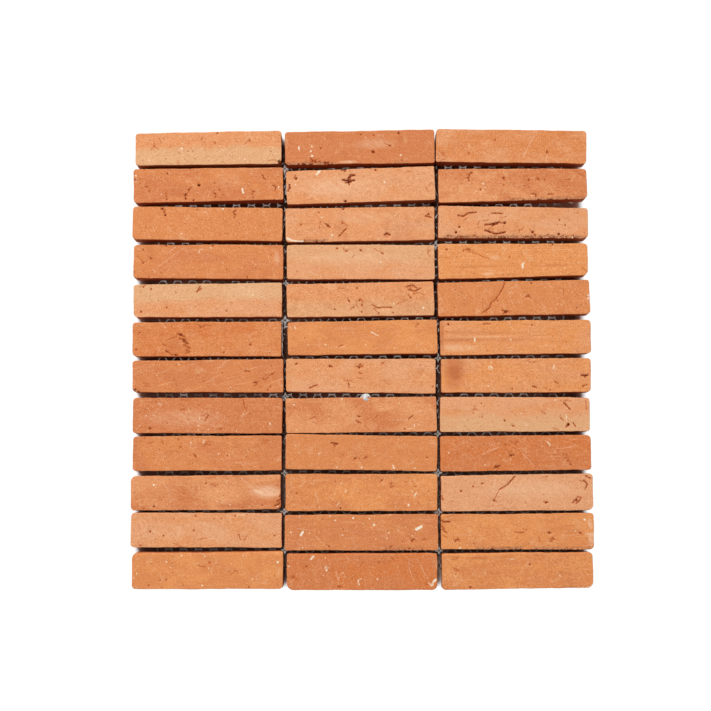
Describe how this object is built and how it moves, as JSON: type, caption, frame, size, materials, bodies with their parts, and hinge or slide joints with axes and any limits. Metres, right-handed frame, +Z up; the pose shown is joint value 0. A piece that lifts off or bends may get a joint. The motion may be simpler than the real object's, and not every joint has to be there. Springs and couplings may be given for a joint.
{
  "type": "brick slip sheet",
  "caption": "Thin fired-clay brick slips laid by hand in a stack bond on a hexagonal nylon net, for facing a wall or floor.",
  "frame": {"origin": "middle of the sheet's outline, on the flat back of the net that the sheet lies on", "axes": "+Z up out of the slips' faces, +X along the slips, +Y up the sheet towards the first row"},
  "size_m": [0.2996, 0.3014, 0.0128],
  "materials": {
    "clay_peach": "fired clay, peach, matte and finely sanded",
    "clay_sand": "fired clay, sand-coloured, matte and finely sanded",
    "clay_pink": "fired clay, pink-peach, matte and finely sanded",
    "clay_orange": "fired clay, orange, matte and finely sanded",
    "clay_amber": "fired clay, amber, matte and finely sanded",
    "clay_rust": "fired clay, rust red, matte and finely sanded",
    "net": "translucent nylon strands"
  },
  "bodies": {
    "root": {"backing_net_1": "net", "backing_net_2": "net", "backing_net_3": "net", "brick_slip_r01_c1": "clay_sand", "brick_slip_r01_c2": "clay_rust", "brick_slip_r01_c3": "clay_peach", "brick_slip_r02_c1": "clay_rust", "brick_slip_r02_c2": "clay_pink", "brick_slip_r02_c3": "clay_rust", "brick_slip_r03_c1": "clay_orange", "brick_slip_r03_c2": "clay_pink", "brick_slip_r03_c3": "clay_peach", "brick_slip_r04_c1": "clay_orange", "brick_slip_r04_c2": "clay_sand", "brick_slip_r04_c3": "clay_amber", "brick_slip_r05_c1": "clay_sand", "brick_slip_r05_c2": "clay_peach", "brick_slip_r05_c3": "clay_orange", "brick_slip_r06_c1": "clay_orange", "brick_slip_r06_c2": "clay_orange", "brick_slip_r06_c3": "clay_amber", "brick_slip_r07_c1": "clay_orange", "brick_slip_r07_c2": "clay_peach", "brick_slip_r07_c3": "clay_peach", "brick_slip_r08_c1": "clay_pink", "brick_slip_r08_c2": "clay_rust", "brick_slip_r08_c3": "clay_sand", "brick_slip_r09_c1": "clay_orange", "brick_slip_r09_c2": "clay_amber", "brick_slip_r09_c3": "clay_rust", "brick_slip_r10_c1": "clay_orange", "brick_slip_r10_c2": "clay_orange", "brick_slip_r10_c3": "clay_pink", "brick_slip_r11_c1": "clay_peach", "brick_slip_r11_c2": "clay_orange", "brick_slip_r11_c3": "clay_amber", "brick_slip_r12_c1": "clay_orange", "brick_slip_r12_c2": "clay_rust", "brick_slip_r12_c3": "clay_orange"}
  },
  "joints": []
}
